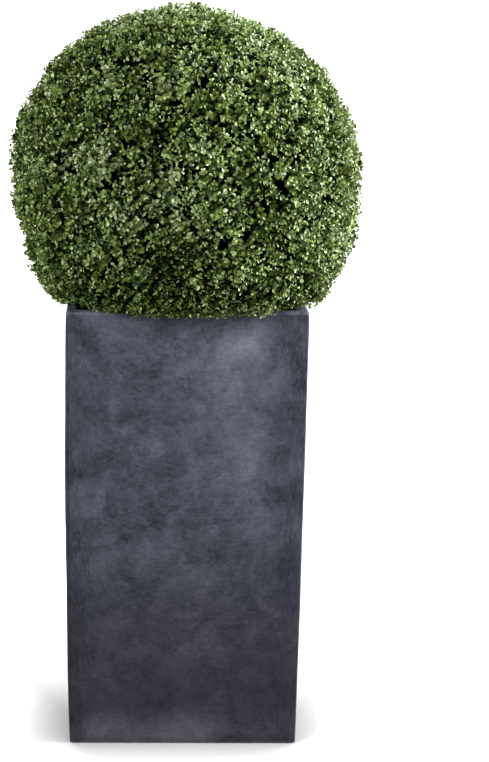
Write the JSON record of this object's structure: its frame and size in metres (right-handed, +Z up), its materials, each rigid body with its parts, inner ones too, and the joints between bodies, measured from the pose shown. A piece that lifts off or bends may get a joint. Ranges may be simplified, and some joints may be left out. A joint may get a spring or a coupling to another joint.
{
  "type": "box topiary ball in a square planter",
  "caption": "Clipped round box ball of small oval leaves, growing from a short stem in a tall square planter.",
  "frame": {"origin": "centre of the planter's flat underside", "axes": "+Z up from the underside to the crown, -Y towards the side that faces the viewer, +X to that viewer's right"},
  "size_m": [0.6061, 0.6062, 1.2723],
  "materials": {
    "planter": "dark slate grey, satin, softly mottled, with brushed streaks and fine scratches",
    "potting_soil": "dark, matte and crumbly",
    "stem": "grey-brown bark, finely furrowed",
    "foliage_ball": "small glossy green leaves, paler at the tips"
  },
  "bodies": {
    "root": {"planter": "planter", "potting_soil": "potting_soil", "stem": "stem", "foliage_ball": "foliage_ball"}
  },
  "joints": []
}
